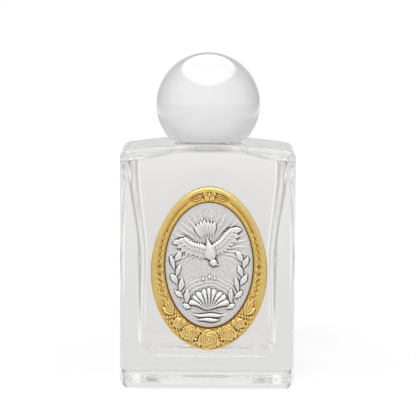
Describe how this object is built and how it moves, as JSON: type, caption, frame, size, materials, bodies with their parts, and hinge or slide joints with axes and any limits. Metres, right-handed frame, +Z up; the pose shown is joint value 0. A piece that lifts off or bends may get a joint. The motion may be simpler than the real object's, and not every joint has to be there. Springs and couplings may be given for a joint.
{
  "type": "holy water bottle",
  "caption": "Flat clear glass bottle with a thick base, a ball-shaped screw cap and an oval relief plaque in a rose-garland frame on its front.",
  "frame": {"origin": "on the standing surface, in the middle of the whole object's box", "axes": "+Z up along the neck, +X to the right, -Y out of the front that carries the plaque"},
  "size_m": [0.05, 0.0326, 0.0964],
  "materials": {
    "clear_glass": "clear, fire-polished, faintly uneven",
    "white_gloss": "high gloss opaque white",
    "white_plastic": "natural white moulded plastic",
    "liner_foam": "soft expanded foam with skin",
    "gilt_metal": "satin gilt with burnished high points and darker recesses",
    "silver_metal": "satin silver with oxidised recesses and a stippled ground",
    "backing_board": "plain moulded board",
    "pad_foam": "thin white acrylic foam tape"
  },
  "bodies": {
    "bottle": {"glass_bottle": "clear_glass", "adhesive_pad": "pad_foam", "plaque_backing": "backing_board", "relief_plate": "silver_metal", "plaque_frame": "gilt_metal"},
    "liner": {"liner_disc": "liner_foam"},
    "cap": {"ball_knob": "white_gloss", "cap_insert": "white_plastic"}
  },
  "joints": [
    {"name": "cap_lift", "type": "slide", "parent": "bottle", "child": "liner", "axis": [0, 0, 1], "range_m": [0, 0.0224]},
    {"name": "cap_turn", "type": "hinge", "parent": "liner", "child": "cap", "pos_m": [0, 0.00135, 0.0814], "axis": [0, 0, 1], "range_deg": [0, 2520]}
  ],
  "couplings": [
    {"joint": "cap_lift", "follows": "cap_turn", "m_per_rad": 0.0005093}
  ]
}
